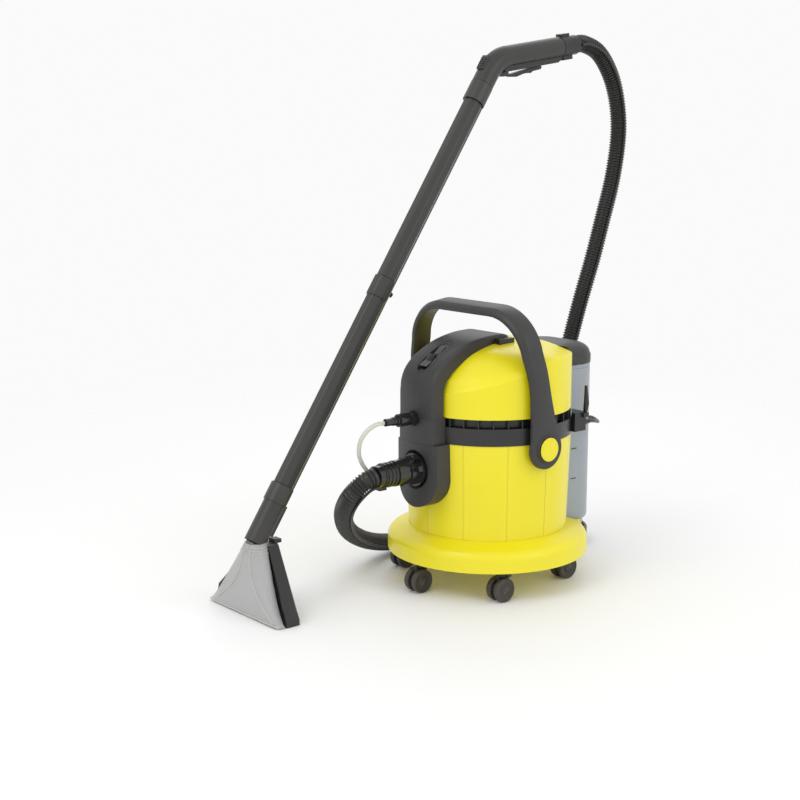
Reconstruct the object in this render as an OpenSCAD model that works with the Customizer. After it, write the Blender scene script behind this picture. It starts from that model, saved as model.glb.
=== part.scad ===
// Canister spray-extraction cleaner: wet drum, motor head, fresh-water tank, hose and floor wand.
// Front of the machine faces -Y, +Z is up, and the origin is on the floor under the drum's axis.

/* [Base] */
// Outer radius of the base ring
base_r = 193; // [188:1:198]
// Height of the base ring's lower edge above the floor
base_z = 58; // [58:1:60]
// Radius of a castor wheel
wheel_r = 22.5; // [21:0.5:23]

/* [Drum] */
// Drum radius at its floor
drum_r_low = 151; // [150:0.5:152]
// Drum radius at its rim
drum_r_rim = 158; // [156:0.5:158.5]
// Height of the drum's rim
drum_rim_z = 288; // [286:1:290]

/* [Head] */
// Radius of the yellow head cover
cover_r = 157.5; // [155:0.5:158]
// Width of the dark strip over the head
strip_w = 94; // [88:1:98]

/* [Handle] */
// Height of the handle's pivots
pivot_z = 280; // [279:1:281]
// Forward lean of the carrying handle at rest
handle_lean = 8; // [6:1:9]

/* [Tank] */
// Half of the tank's width
tank_hw = 78; // [74:1:79]
// Rear face of the tank
tank_rear = 228; // [224:1:230]

/* [Wand] */
// Distance of the wand's plane from the machine's middle
wand_x = -100; // [-104:1:-96]
// Lean of the wand from upright
wand_lean = 34; // [34:0.5:34.5]
// Outer radius of the suction tubes
tube_r = 19; // [18.5:0.5:19.5]
// Width of the floor nozzle's lip
lip_w = 220; // [200:5:230]

/* [Hidden] */
$fn = 96;

yellow = [0.95, 0.88, 0.05];
grey = [0.28, 0.28, 0.28];
black = [0.09, 0.09, 0.09];
body_gap = 0.3;                 // clearance between neighbours on different bodies
wall = 3;

// drum and base
drum_floor_z = 70;
drum_flat = 108;                // flat at the back, where the tank stands
caster_r = 160;
caster_angles = [0, 60, 135, -135, -60];
trail = 16;                     // wheel axle behind the swivel stem
stem_r = 5.5;
axle_r = 3;
running = 0.05;                 // radial clearance of a shaft in its bore
shelf_z = 78;                   // floor of the notch that the tank stands in

// head
band_z = drum_rim_z + body_gap;
band_top = 320;
cover_z = 336.3;
band_r = 159.5;
head_flat = 104;
strip_r = 189;

// handle
pivot_y = -14;
hub_r = 38;
pin_r = 6;
arm_in = 162;
arm_t = 10;
arm_w = 44;
arch_top = 258;                 // pivot to the top of the crossbar

// tank
tank_front = 112.5;
tank_corner = 50;
tank_z = shelf_z + body_gap;
tank_top = 405;
lid_z = tank_top + body_gap;
lid_h = 40;

// port, coupling and cuff
port_z = 237;
port_y = -212;
port_bore = 17.5;
coupling_z = 334;
cuff_end = -280;

// wand
neck = [wand_x, -469, 140];
joint_s = 100;                  // nozzle tube to lower tube
mid_s = 530;                    // lower tube to upper tube
collar_s = 960;
bend_s = 1022;
grip_tilt = 8.5;
grip_len = 220;

hose_d = 35;
cord_d = 7;
spray_d = 8;
coil_at = [-80, 290, 0];
coil_r = 42;
coil_w = 28;
coil_h = 28;

// routes of the free cords
hose_route = [[-100, 322.5, 1020], [-100, 350, 1022], [-100, 396, 1004], [-100, 436, 955], [-100, 457, 892],
  [-100, 460, 828], [-100, 445, 746], [-100, 418, 664], [-101, 391, 582], [-104, 362, 500],
  [-108, 336, 415], [-116, 315, 330], [-127, 298, 245], [-143, 279, 160], [-165, 250, 88],
  [-193, 207, 42], [-215, 150, 24], [-227, 80, 19], [-229, 10, 19], [-224, -60, 24], [-205, -125, 42],
  [-172, -186, 70], [-132, -240, 103], [-92, -281, 138], [-54, -309, 172], [-22, -318, 204],
  [-5, -302, 229], [0, -280, 237]];
spray_route = [[0, -259.6, 334], [-1, -276, 333], [-5, -294, 323], [-12, -303, 305], [-20, -301, 282],
  [-27, -289, 260], [-31, -272, 240], [-31, -258, 224], [-26, -250, 212]];
cord_route = [[128, 146.8, 305], [127, 160, 303], [114, 182, 297], [96, 204, 291], [72, 223, 289],
  [44, 238, 287], [14, 247, 276], [-10, 252, 246], [-24, 254, 200], [-28, 256, 150], [-25, 255, 100],
  [-21, 257, 60], [-19, 264, 28], [-21, 280, 11], [-29, 296, 8]];

// ---------- helpers ----------
function mix(a, b, t) = a + (b - a) * t;
function unit(v) = v / norm(v);
// Catmull-Rom point on a route, where u runs from 0 to the last index
function at(p, u) = let (n = len(p) - 1, i = min(floor(u), n - 1), t = u - i,
    a = p[max(i - 1, 0)], b = p[i], c = p[i + 1], d = p[min(i + 2, n)])
  0.5 * ((2 * b) + (c - a) * t + (2 * a - 5 * b + 4 * c - d) * t * t
    + (3 * b - a - 3 * c + d) * t * t * t);
function heading(p, u) = let (n = len(p) - 1)
  unit(at(p, min(u + 0.02, n)) - at(p, max(u - 0.02, 0)));
function side(h, s) = unit(s - h * (h * s));
// a side direction carried along the route, so that the tube doesn't twist
function frames(p, step, u, s, out) = u > len(p) - 1 + 0.001 ? out
  : let (h = heading(p, u), k = side(h, s))
    frames(p, step, u + step, k, concat(out, [[at(p, u), k, cross(h, k)]]));
module swept(p, r, sides, step, start) {
  rings = frames(p, step, 0, start, []);
  n = len(rings);
  points = [for (g = rings, k = [0:sides - 1])
    g[0] + r * (g[1] * cos(360 * k / sides) + g[2] * sin(360 * k / sides))];
  walls = [for (i = [0:n - 2], k = [0:sides - 1])
    [i * sides + k, i * sides + (k + 1) % sides, (i + 1) * sides + (k + 1) % sides, (i + 1) * sides + k]];
  polyhedron(points, concat([[for (k = [sides - 1:-1:0]) k]], walls,
    [[for (k = [0:sides - 1]) (n - 1) * sides + k]]), convexity = 10);
}
module disc(r, h, flat) {       // round block with a flat at the back
  intersection() {
    cylinder(r = r, h = h);
    translate([-300, -300, -1]) cube([600, 300 + flat, h + 2]);
  }
}
module along_y(at_y, z, r, h, x = 0) { translate([x, at_y, z]) rotate([90, 0, 0]) cylinder(r = r, h = h); }
module along_x(x, y, z, r, h) { translate([x, y, z]) rotate([0, 90, 0]) cylinder(r = r, h = h); }
module pill(l, w, h) {          // slot shape, long side along Y
  translate([-w / 2, -(l - w) / 2, 0]) cube([w, l - w, h]);
  for (e = [-1, 1]) translate([0, e * (l - w) / 2, 0]) cylinder(d = w, h = h);
}
module caster_at(i) { rotate([0, 0, caster_angles[i - 1]]) translate([0, -caster_r, 0]) children(); }
module caster_place(i) {
  a = caster_angles[i - 1];
  translate([caster_r * sin(a), -caster_r * cos(a), 0]) children();
}

// ---------- base and drum ----------
module ring_profile() {
  polygon(concat([[base_r, base_z], [base_r, 80]],
    [for (a = [0:15:75]) [base_r - 22 + 22 * cos(a), 80 + 20 * sin(a)]],
    [[160, 106], [drum_r_low + 1.5, 108], [drum_r_low + 1.5, 104.5], [160, 102.5], [171, 96],
     [186, 90], [base_r - 4, 80], [base_r - 4, base_z]]));
}
module base_ring() color(yellow) difference() {
  union() {
    difference() {
      rotate_extrude() ring_profile();
      translate([-tank_hw - 4, tank_front - 4, shelf_z]) cube([2 * tank_hw + 8, 200, 60]);
    }
    difference() {              // web under the drum
      translate([0, 0, 65]) cylinder(r = base_r - 2, h = 4.7);
      translate([0, 0, 60]) cylinder(r = 118, h = 20);
    }
    intersection() {            // shelf and cheeks of the tank's notch
      difference() {
        translate([-tank_hw - 6, tank_front - 6, 66]) cube([2 * tank_hw + 12, 200, 40]);
        translate([-tank_hw - 2, tank_front - 2.5, shelf_z]) cube([2 * tank_hw + 4, 200, 60]);
        translate([0, 0, drum_floor_z - 0.3]) cylinder(r = drum_r_low + 2, h = 60);
      }
      cylinder(r = base_r - 1, h = 96);
    }
    for (i = [1:5]) caster_place(i) translate([0, 0, base_z]) cylinder(r = 12, h = 40);
  }
  for (i = [1:5]) caster_place(i) translate([0, 0, base_z - 1]) cylinder(r = stem_r + running, h = 34);
  translate([0, 0, 69.7]) cylinder(r = 153.2, h = 30);
}
module drum_solid(o) {
  intersection() {
    translate([0, 0, drum_floor_z]) cylinder(r1 = drum_r_low - o, r2 = drum_r_rim - o,
      h = drum_rim_z - drum_floor_z);
    translate([-300, -300, 0]) cube([600, 300 + drum_flat - o, 600]);
  }
}
module drum() color(yellow) difference() {
  drum_solid(0);
  intersection() {
    drum_solid(wall);
    translate([-300, -300, drum_floor_z + wall]) cube([600, 600, 400]);
  }
  along_y(-100, port_z, 24.2, 100);
  for (s = [-1, 1]) translate([s * 153 - 9, pivot_y - 17, 261]) cube([18, 34, 40]);  // room for the lugs
  for (a = [-120:30:120]) rotate([0, 0, a]) rotate([1.84, 0, 0])
    translate([-0.8, -drum_r_low - 0.6, drum_floor_z - 3]) cube([1.6, 3.6, 240]);
}
module panel_outline() {
  translate([-55, 221]) square([110, drum_rim_z - 221]);
  translate([0, 221]) circle(r = 55);
}
module drum_panel() color(grey) difference() {
  intersection() {
    translate([0, 0, 150]) cylinder(r = 187, h = 150);
    translate([0, -100, 0]) rotate([90, 0, 0]) linear_extrude(100) panel_outline();
  }
  drum_solid(0);
  along_y(-100, port_z, 24.2, 100);
  translate([0, -196, port_z]) rotate([90, 0, 0]) translate([0, 0, -24]) cylinder(r1 = 25, r2 = 44, h = 24);
}
module suction_port() color(black) difference() {
  union() {
    along_y(-140, port_z, 24.2, 40);
    along_y(-180, port_z, 31, 10);
    along_y(-188, port_z, 27, 24);
    for (a = [35, 75, 215]) translate([0, -196, port_z]) rotate([0, a, 0])
      translate([-5, -10, 24]) cube([10, 10, 13]);
  }
  along_y(-130, port_z, port_bore, 100);
}
module hose_cuff() color(black) difference() {
  union() {
    along_y(-160, port_z, port_bore - 0.02, -port_y - 160);
    along_y(port_y, port_z, 24, 26);
    along_y(port_y - 26, port_z, 21.5, 30);
    for (k = [0:2]) along_y(port_y - 30 - k * 9, port_z, 23, 4);
    along_y(port_y - 56, port_z, 20, 12);
  }
  along_y(-150, port_z, 13, 140);
}
module spray_clip() color(black) difference() {
  translate([-26, -262, 206]) cube([18, 16, 16]);
  along_y(-240, port_z, 21.5, 40);
  along_y(-240, port_z, 23, 34);
}
module hose_path_tube() { swept(hose_route, hose_d / 2, 12, 0.5, [1, 0, 0]); }
module suction_hose() color(black) hose_path_tube();
module spray_tube() color([0.9, 0.9, 0.85, 0.6]) swept(spray_route, spray_d / 2, 8, 0.5, [1, 0, 0]);

// ---------- power cord ----------
module power_cord() color(grey) swept(cord_route, cord_d / 2, 8, 0.5, [0, 0, 1]);
module cord_coil() color(grey) translate(coil_at) rotate_extrude()
  translate([coil_r - coil_w / 2, 0]) square([coil_w, coil_h]);
module power_plug() color(black) translate([coil_at[0], coil_at[1], coil_h + 18]) {
  along_x(-36, 0, 0, 9, 16);
  along_x(-20, 0, 0, 18, 34);
  for (s = [-1, 1]) along_x(14, 9.5 * s, 0, 2.4, 19);
}

// ---------- head ----------
// Profile of the cover's tilted dome: height against radius, with the steep rim band at the end
dome = [[0, 33], [66, 30.5], [83, 29], [100, 26], [117, 20], [132, 12], [143, 5], [153, -2], [166, -25],
  [290, -245], [0, -245]];
module cover_solid(o) {
  intersection() {
    translate([0, 0, cover_z]) disc(cover_r - o, 180, head_flat - o);
    translate([0, 0, 438 - 1.2 * o]) rotate([12, 0, 0]) rotate_extrude() polygon(dome);
    translate([0, 10, 3]) sphere(r = 463 - o);
  }
}
module head_cover() color(yellow) difference() {
  cover_solid(0);
  translate([0, 0, -2]) cover_solid(wall);
}
strip_line = [[-100, cover_z], [-strip_r - 5, cover_z], [-strip_r - 5, 384], [-186, 402], [-171, 424],
  [-141, 447], [-100, 466], [-56, 476], [-20, 478.5], [0, 477], [8, 470], [8, 440], [-60, 400]];
module strip_solid() {
  intersection() {
    translate([-strip_w / 2, 0, 0]) rotate([90, 0, 90]) linear_extrude(strip_w) polygon(strip_line);
    cylinder(r = strip_r, h = 600);
  }
}
slope_y = -142;
slope_z = 444;
slope_a = 36;
module on_slope() { translate([0, slope_y, slope_z]) rotate([slope_a, 0, 0]) children(); }
module head_panel() color(grey) difference() {
  strip_solid();
  cover_solid(0);
  on_slope() translate([0, 0, -7]) pill(80, 26, 30);
  along_y(-150, coupling_z, 13, 60);
}
module switch_frame() color(black) difference() {
  intersection() {
    on_slope() translate([0, 0, -6.9]) pill(79.4, 25.4, 3.5);
    strip_solid();
  }
  on_slope() translate([-10.6, -32, -4.4]) cube([21.2, 36, 20]);
}
module rocker(s) {
  on_slope() translate([s * 5.2, -14, 0]) rotate([0, -90, 0]) translate([0, 0, -4.6])
    linear_extrude(9.2) polygon([[-2.9, -9], [-2.9, 9], [1.5, 15], [4.4, 15.5], [1.2, 0], [2.2, -15], [-1, -15]]);
}
module vacuum_switch() color(black) rocker(-1);
module spray_switch() color(black) rocker(1);
module band_panel() color(grey) difference() {
  intersection() {
    translate([0, 0, band_z]) cylinder(r = strip_r - 1, h = cover_z - band_z);
    translate([-strip_w / 2, -300, 0]) cube([strip_w, 200, 600]);
  }
  translate([0, 0, band_z - 1]) cylinder(r = band_r, h = 60);
  along_y(-150, coupling_z, 13, 60);
}
module head_band() color(black) difference() {
  union() {
    difference() {
      translate([0, 0, band_z]) disc(band_r, band_top - band_z, head_flat);
      translate([0, 0, band_z - 1]) disc(band_r - 6, 60, head_flat - 6);
    }
    for (s = [-1, 1]) translate([s * 153 - 7.5, pivot_y - 16, 262]) cube([15, 32, 50]);
  }
  for (s = [-1, 1]) along_x(s * 153 - 20, pivot_y, pivot_z, pin_r, 40);
}
module pivot_pins() color(grey) for (s = [-1, 1])
  along_x(s > 0 ? 146 : -176.5, pivot_y, pivot_z, pin_r, 30.5);
module vent_ribs() color(black) translate([0, 0, band_top]) {
  difference() {
    disc(147, cover_z - band_top, head_flat - 4);
    translate([0, 0, -1]) disc(141, 60, head_flat - 10);
  }
  for (a = [-130:10:130]) if (abs(a) > 12) rotate([0, 0, a])
    translate([-1.2, -157, 0]) cube([2.4, 12, cover_z - band_top]);
}
module motor_plate() color(black) difference() {
  translate([0, 0, 300]) disc(band_r - 6.1, 5, head_flat - 6.1);
  translate([0, 0, 290]) cylinder(r = 32, h = 30);
  for (s = [-1, 1]) translate([s * 153 - 9, pivot_y - 17, 290]) cube([18, 34, 30]);
}
module vacuum_motor() color([0.5, 0.5, 0.52]) {
  translate([0, 0, 305]) cylinder(r = 66, h = 34);
  translate([0, 0, 339]) cylinder(r = 46, h = 72);
  translate([0, 0, 411]) cylinder(r = 12, h = 8);
}
module spray_pump() color([0.55, 0.5, 0.4]) {
  translate([-52, -128, 305]) cube([60, 38, 34]);
  along_y(-60, 322, 15, 40, -62);
}
module float_cage() color(black) difference() {
  union() {
    translate([0, 0, 210]) cylinder(r = 42, h = 90);
    translate([0, 0, 296]) cylinder(r = 60, h = 4);
  }
  translate([0, 0, 214]) cylinder(r = 37, h = 100);
  for (a = [0:45:315]) rotate([0, 0, a]) translate([30, -7, 222]) cube([20, 14, 60]);
}
module float_ball() color([0.85, 0.83, 0.75]) translate([0, 0, 214]) {
  cylinder(r = 30, h = 46);
  cylinder(r = 34, h = 6);
}
module top_bar() color(black) difference() {
  translate([-60, -30, 440]) cube([120, 38, 31]);
  cover_solid(-0.4);
  strip_solid();
}
module coupling() color(black) {
  along_y(-160, coupling_z, 12.9, 35);
  along_y(-190, coupling_z, 14.5, 10);
  along_y(-200, coupling_z, 12, 26);
  for (k = [0:2]) along_y(-226 - k * 8, coupling_z, 9 - k, 5);
  along_y(-226, coupling_z, 7, 30);
  along_y(-250, coupling_z, 4.5, 9);
}
module rear_housing() color(black) difference() {
  union() {
    translate([-104, head_flat + 0.2, 300]) cube([208, 4, 150]);
  }
  cover_solid(0);
  for (x = [-54:18:54]) translate([x - 5, head_flat - 1, 330]) cube([10, 10, 100]);
}
module cable_gland() color(black) {
  difference() {
    translate([104, 92, 292]) cube([36, 30, 36]);
    cylinder(r = band_r, h = 600);
  }
  translate([136, 118, 322]) hull() {   // hook for the wound cord
    cube([6, 4, 2]);
    translate([1, 2, 52]) cube([4, 3, 4]);
    translate([0, 6, 20]) cube([6, 4, 2]);
  }
  translate([134, 112, 318]) cube([10, 14, 8]);
}
module cord_sleeve() color(black) translate([128, 122, 305]) rotate([-90, 0, 0])
  cylinder(r1 = 7, r2 = 4, h = 24);

// ---------- handle ----------
// Outline of the arch, in the handle's own plane above the pivots
function crown(r) = [for (a = [4:10.75:90]) [70 + r * cos(a), arch_top - 92 + r * sin(a)]];
function mirrored(p) = concat(p, [for (i = [len(p) - 1:-1:0]) [-p[i][0], p[i][1]]]);
module arch() {
  difference() {
    polygon(mirrored(concat([[arm_in + arm_t, 0], [arm_in + arm_t, 118], [168.5, 146]], crown(92))));
    polygon(mirrored(concat([[arm_in, -1], [arm_in, 116], [158.6, 146]], crown(77))));
  }
}
module carry_handle() color(grey) difference() {
  union() {
    translate([0, pivot_y, pivot_z]) rotate([handle_lean, 0, 0]) {
      translate([0, arm_w / 2, 0]) rotate([90, 0, 0]) linear_extrude(arm_w) arch();
      for (s = [-1, 1]) translate([s > 0 ? arm_in : -arm_in - arm_t, 0, 0])     // widening towards the hub
        rotate([90, 0, 90]) linear_extrude(arm_t) polygon([[-37, 10], [37, 10], [22, 116], [-22, 116]]);
    }
    for (s = [-1, 1]) {
      along_x(s > 0 ? arm_in - 0.5 : -arm_in - arm_t - 0.6, pivot_y, pivot_z, hub_r, arm_t + 1.1);
      along_x(s > 0 ? arm_in - 0.5 : -arm_in - arm_t - 4, pivot_y, pivot_z, 26, arm_t + 4.5);
    }
  }
  for (s = [-1, 1]) along_x(s * 170 - 20, pivot_y, pivot_z, pin_r + running, 40);
}
module pivot_caps() color(yellow) for (s = [-1, 1]) difference() {
  along_x(s > 0 ? 176.1 : -180.1, pivot_y, pivot_z, 22, 4);
  along_x(s > 0 ? 158 : -176.7, pivot_y, pivot_z, pin_r + 1, 18.7);
}

// ---------- tank ----------
module tank_plan(o) {
  hw = tank_hw - o;
  c = tank_corner - o;
  translate([-hw, tank_front + o]) square([2 * hw, tank_rear - tank_corner - tank_front - o]);
  translate([-hw + c, tank_front + o]) square([2 * (hw - c), tank_rear - tank_front - 2 * o]);
  for (s = [-1, 1]) translate([s * (hw - c), tank_rear - tank_corner]) circle(r = c);
}
module tank_shell() color([0.75, 0.8, 0.85, 0.7]) difference() {
  union() {
    translate([0, 0, tank_z + 14]) linear_extrude(tank_top - tank_z - 14) tank_plan(0);
    translate([0, 0, tank_z]) linear_extrude(14) tank_plan(8);
    for (z = [180, 240, 300]) translate([tank_hw - 1, 150, z]) cube([2.2, 14, 2]);
  }
  translate([0, 0, tank_z + 3]) linear_extrude(tank_top) tank_plan(11);
  translate([0, 0, tank_z + 17]) linear_extrude(tank_top) tank_plan(3);
}
module tank_lid() color(grey) difference() {
  union() {
    translate([0, 0, lid_z]) linear_extrude(18) tank_plan(-1);
    translate([0, 0, lid_z + 18]) linear_extrude(9) tank_plan(4);
    translate([0, 0, lid_z + 27]) linear_extrude(7) tank_plan(12);
    translate([0, 0, lid_z + 34]) linear_extrude(lid_h - 34) tank_plan(22);
  }
  translate([0, 0, lid_z - 1]) linear_extrude(16) tank_plan(3);
  translate([-50, tank_front - 3, lid_z + 6]) cube([100, 22, 18]);
}

// ---------- casters ----------
module fork() {
  difference() {
    union() {
      translate([0, 0, 44]) cylinder(r = stem_r, h = 44);
      along_x(-4.2, -trail, wheel_r, 17, 8.4);
      translate([-4.2, -trail - 8, wheel_r + 2]) cube([8.4, 26, 26]);
      translate([0, 0, 44]) cylinder(r = 9, h = 8);
    }
    along_x(-10, -trail, wheel_r, axle_r + running, 20);
  }
}
module wheels() {
  along_x(-14, -trail, wheel_r, axle_r, 28);
  for (s = [-1, 1]) difference() {
    along_x(s > 0 ? 4.8 : -15.3, -trail, wheel_r, wheel_r, 10.5);
    along_x(s > 0 ? 14.3 : -16.3, -trail, wheel_r, wheel_r - 3, 2);
  }
}
module caster_fork(i) color(black) caster_place(i) fork();
module caster_wheels(i) color(grey) caster_place(i) wheels();

// ---------- wand ----------
module wand_frame() { translate(neck) rotate([-wand_lean, 0, 0]) children(); }
module grip_frame() { wand_frame() translate([0, 0, bend_s]) rotate([wand_lean - 90 + grip_tilt, 0, 0]) children(); }
module nozzle_shape(o, deep) {
  hull() {
    translate([wand_x - lip_w / 2 + o, -506 + o, 3]) cube([lip_w - 2 * o, 18 + deep - 2 * o, 4]);
    translate([wand_x - lip_w / 2 + 8 + o, -502 + o, 24]) cube([lip_w - 16 - 2 * o, 18 + deep - 2 * o, 1]);
    translate([wand_x, -474, 128]) rotate([-16, 0, 0]) cylinder(r = 20 - o, h = 4);
  }
}
module nozzle_hood() color([0.85, 0.87, 0.88, 0.5]) difference() {
  nozzle_shape(0, 0);
  nozzle_shape(2.5, 0);
  translate([wand_x - lip_w / 2 + 2.5, -503.5, -1]) cube([lip_w - 5, 13, 8]);
  translate([wand_x - 200, -487.5, -1]) cube([400, 40, 30]);
  wand_frame() translate([0, 0, -14]) cylinder(r = 20.1, h = 60);
}
module nozzle_body() color(black) difference() {
  union() {
    hull() {
      translate([wand_x - lip_w / 2, -487, 0]) cube([lip_w, 28, 10]);
      translate([wand_x - lip_w / 2 + 6, -487, 10]) cube([lip_w - 12, 24, 20]);
      translate([wand_x - 22, -462, 116]) cube([44, 22, 8]);
    }
  }
  nozzle_shape(-0.2, 0);
  wand_frame() translate([0, 0, -20]) cylinder(r = 20.1, h = 60);
}
module nozzle_neck() color(black) wand_frame() difference() {
  union() {
    translate([0, 0, -14]) cylinder(r = 20, h = joint_s + 14);
    translate([0, 0, joint_s - 34]) cylinder(r = 22, h = 34);
    translate([-7, 14, 10]) cube([14, 12, 60]);
  }
  translate([0, 0, -20]) cylinder(r = 16, h = joint_s + 60);
}
module tube(s0, s1, bell) {
  difference() {
    union() {
      translate([0, 0, s0]) cylinder(r = tube_r, h = s1 - s0);
      translate([-6, tube_r - 4, s0]) cube([12, 7, s1 - s0]);
      translate([0, 0, s1 - bell]) cylinder(r = tube_r + 2.5, h = bell);
    }
    translate([0, 0, s0 - 1]) cylinder(r = tube_r - 2.5, h = s1 - s0 + 2);
  }
}
module lower_tube() color(black) wand_frame() tube(joint_s + body_gap, mid_s, 40);
module upper_tube() color(black) wand_frame() tube(mid_s + body_gap, collar_s - 40, 0);
module tube_collar() color(black) wand_frame() difference() {
  translate([0, 0, collar_s - 40 + body_gap]) cylinder(r = tube_r + 3, h = 40 - body_gap);
  translate([0, 0, collar_s - 60]) cylinder(r = tube_r - 2.5, h = 80);
}
half_bend = (wand_lean - 90 + grip_tilt) / 2;
module mitre(z) { translate([0, 0, bend_s]) rotate([half_bend, 0, 0]) translate([-60, -60, z]) cube([120, 120, 300]); }
module elbow(r, s0, s1) {        // two straight tubes that meet on the plane between them
  wand_frame() intersection() {
    translate([0, 0, s0]) cylinder(r = r, h = bend_s - s0 + 60);
    mitre(-300);
  }
  intersection() {
    grip_frame() translate([0, 0, -60]) cylinder(r = r, h = s1 + 60);
    wand_frame() mitre(0);
  }
}
module grip_shell() color(black) difference() {
  elbow(21, collar_s + body_gap, grip_len - 45);
  elbow(15.5, collar_s - 5, grip_len + 5);
  wand_frame() translate([-9, -30, collar_s + 12]) cube([18, 13, 44]);
}
module grip_insert() color(black) difference() {
  grip_frame() translate([-12, 0, 0]) rotate([90, 0, 90]) linear_extrude(24)
    polygon([[10, 12], [28, 12], [28, 160], [22, 172], [10, 172]]);
  grip_frame() translate([0, 0, -10]) cylinder(r = 21.2, h = grip_len + 20);
}
module grip_end() color(black) grip_frame() {
  difference() {
    union() {
      translate([0, 0, grip_len - 44.5]) cylinder(r = 21, h = 26);
      translate([0, 0, grip_len - 19]) cylinder(r = 19.5, h = 19);
      translate([0, 0, grip_len - 44.5]) cylinder(r = 19, h = 30);
      translate([-9, -25, grip_len - 40]) cube([18, 12, 20]);
      translate([-11, 12, grip_len - 44]) cube([22, 14, 26]);
    }
    translate([0, 0, grip_len - 60]) cylinder(r = 13, h = 100);
  }
}
module spray_trigger() color(black) grip_frame() translate([-8, 0, 0]) rotate([90, 0, 90])
  linear_extrude(16) polygon([[34, 30], [39, 32], [41, 44], [38, 62], [37, 78], [39, 84], [36, 90], [35, 112], [31, 116],
    [28.4, 114], [28.4, 110]]);
module trigger_lock() color(black) grip_frame() translate([-6, 28.3, 12]) cube([12, 8, 14]);
module air_slider() color(black) wand_frame() {
  translate([-8, -24.5, collar_s + 22]) cube([16, 7.2, 30]);
  for (k = [0:5]) translate([-7, -26, collar_s + 25 + k * 4]) cube([14, 2, 2]);
}
module hood_latch() color(black) {
  translate([wand_x - 9, -439.5, 100]) cube([18, 7, 30]);
  translate([wand_x - 9, -434, 122]) cube([18, 10, 7]);
}
module tube_button() color(black) wand_frame() translate([0, tube_r + 5.3, mid_s - 18])
  rotate([-90, 0, 0]) cylinder(r = 5, h = 4);

base_ring();
drum();
drum_panel();
suction_port();
hose_cuff();
spray_clip();
suction_hose();
spray_tube();
power_cord();
cord_coil();
power_plug();
head_cover();
head_panel();
band_panel();
head_band();
vent_ribs();
motor_plate();
vacuum_motor();
spray_pump();
float_cage();
top_bar();
coupling();
cable_gland();
cord_sleeve();
rear_housing();
switch_frame();
pivot_pins();
float_ball();
vacuum_switch();
spray_switch();
carry_handle();
pivot_caps();
tank_shell();
tank_lid();
caster_fork(1);  // caster_fork_1
caster_fork(2);  // caster_fork_2
caster_fork(3);  // caster_fork_3
caster_fork(4);  // caster_fork_4
caster_fork(5);  // caster_fork_5
caster_wheels(1);  // caster_wheels_1
caster_wheels(2);  // caster_wheels_2
caster_wheels(3);  // caster_wheels_3
caster_wheels(4);  // caster_wheels_4
caster_wheels(5);  // caster_wheels_5
nozzle_body();
nozzle_hood();
nozzle_neck();
lower_tube();
upper_tube();
tube_collar();
grip_shell();
grip_insert();
grip_end();
spray_trigger();
trigger_lock();
air_slider();
hood_latch();
tube_button();
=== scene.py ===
# Canister spray-extraction cleaner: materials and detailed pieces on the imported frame.
import bpy
import bmesh
import math
from mathutils import Matrix, Vector


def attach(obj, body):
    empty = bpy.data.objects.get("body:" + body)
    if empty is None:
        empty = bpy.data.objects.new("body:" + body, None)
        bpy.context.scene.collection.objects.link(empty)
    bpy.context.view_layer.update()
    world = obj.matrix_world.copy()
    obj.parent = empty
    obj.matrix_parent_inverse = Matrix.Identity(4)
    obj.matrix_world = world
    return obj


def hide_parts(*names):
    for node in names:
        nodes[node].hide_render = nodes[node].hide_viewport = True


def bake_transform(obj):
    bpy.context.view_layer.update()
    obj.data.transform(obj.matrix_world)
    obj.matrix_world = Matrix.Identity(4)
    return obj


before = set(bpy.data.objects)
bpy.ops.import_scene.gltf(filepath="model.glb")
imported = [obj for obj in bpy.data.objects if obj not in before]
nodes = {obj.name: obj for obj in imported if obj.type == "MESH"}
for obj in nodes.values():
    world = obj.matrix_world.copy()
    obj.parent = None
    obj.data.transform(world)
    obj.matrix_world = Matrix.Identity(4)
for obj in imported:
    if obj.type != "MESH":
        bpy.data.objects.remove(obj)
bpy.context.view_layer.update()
print("frame loaded:", len(nodes), "nodes")

# ---- camera and light ----
cameraSet = {"place": (1.99713, -1.89521, 0.87144), "along": (-0.75263, 0.63094, -0.18833), "lens": 65.8}
lightSet = {
    "world": 0.96,
    "lamps": [
        {"name": "keyLamp", "place": (0.2, -2.2, 2.5), "size": 1.4, "watts": 17},
        {"name": "sideLamp", "place": (2.4, 0.6, 1.7), "size": 1.5, "watts": 8},
        {"name": "backLamp", "place": (-1.6, 1.8, 2.2), "size": 1.6, "watts": 8},
    ],
}


def makeCamera():
    camera = bpy.data.objects.new("camera", bpy.data.cameras.new("camera"))
    bpy.context.scene.collection.objects.link(camera)
    camera.location = cameraSet["place"]
    camera.rotation_euler = Vector(cameraSet["along"]).to_track_quat("-Z", "Y").to_euler()
    camera.data.lens = cameraSet["lens"]
    camera.data.clip_end = 60
    bpy.context.scene.camera = camera
    bpy.context.scene.view_settings.view_transform = "Standard"


def makeLights():
    world = bpy.data.worlds.new("studio")
    bpy.context.scene.world = world
    world.use_nodes = True
    sky = world.node_tree.nodes["Background"]
    sky.inputs["Color"].default_value = (1, 1, 1, 1)
    sky.inputs["Strength"].default_value = lightSet["world"]
    for lamp in lightSet["lamps"]:
        data = bpy.data.lights.new(lamp["name"], "AREA")
        data.size, data.energy = lamp["size"], lamp["watts"]
        obj = bpy.data.objects.new(lamp["name"], data)
        bpy.context.scene.collection.objects.link(obj)
        obj.location = lamp["place"]
        obj.rotation_euler = (Vector((0, 0, 0.35)) - obj.location).to_track_quat("-Z", "Y").to_euler()


makeCamera()
makeLights()
print("camera and lights ready")


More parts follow.
